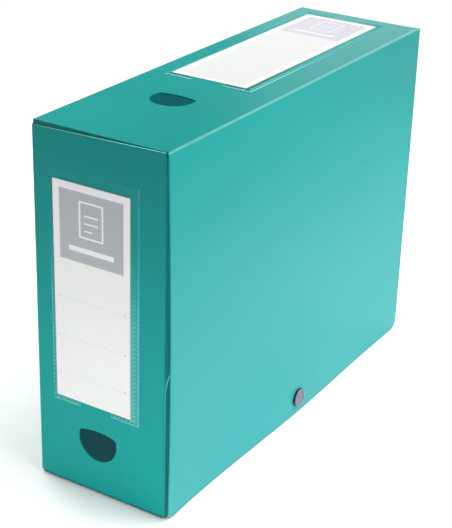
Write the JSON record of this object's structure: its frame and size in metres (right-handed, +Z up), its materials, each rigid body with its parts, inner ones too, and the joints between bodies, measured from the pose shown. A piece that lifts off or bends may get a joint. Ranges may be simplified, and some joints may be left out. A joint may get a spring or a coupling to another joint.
{
  "type": "box file",
  "caption": "Folded plastic box file standing on its long narrow side, with a hinged side lid closed by a press stud, finger holes and clear label pockets.",
  "frame": {"origin": "centre of the bottom wall's underside, on the surface that the box stands on", "axes": "+Z up; the narrow front wall with the tall label faces -Y; the lid faces +X and hangs from the crease along the top; the large base panel faces -X"},
  "size_m": [0.1055, 0.3307, 0.2508],
  "materials": {
    "box_sheet": "satin gloss polypropylene sheet, slightly translucent teal green",
    "lid_sheet": "satin gloss polypropylene sheet, slightly translucent teal green",
    "clear_film": "clear glossy film with knurled weld strips",
    "label_card": "smooth white card with a grey block and fine ruled lines",
    "stud_cap_grey": "satin grey",
    "stud_dark": "satin dark grey"
  },
  "bodies": {
    "box": {"box_shell": "box_sheet", "front_label_pocket": "clear_film", "front_label_card": "label_card", "top_label_pocket": "clear_film", "top_label_card": "label_card", "stud_ball": "stud_dark", "stud_back": "stud_dark"},
    "lid": {"lid": "lid_sheet", "stud_cap": "stud_cap_grey", "stud_socket": "stud_dark"}
  },
  "joints": [
    {"name": "lid_hinge", "type": "hinge", "parent": "box", "child": "lid", "pos_m": [0.0511, 0, 0.25], "axis": [0, -1, 0], "range_deg": [0, 260]}
  ]
}
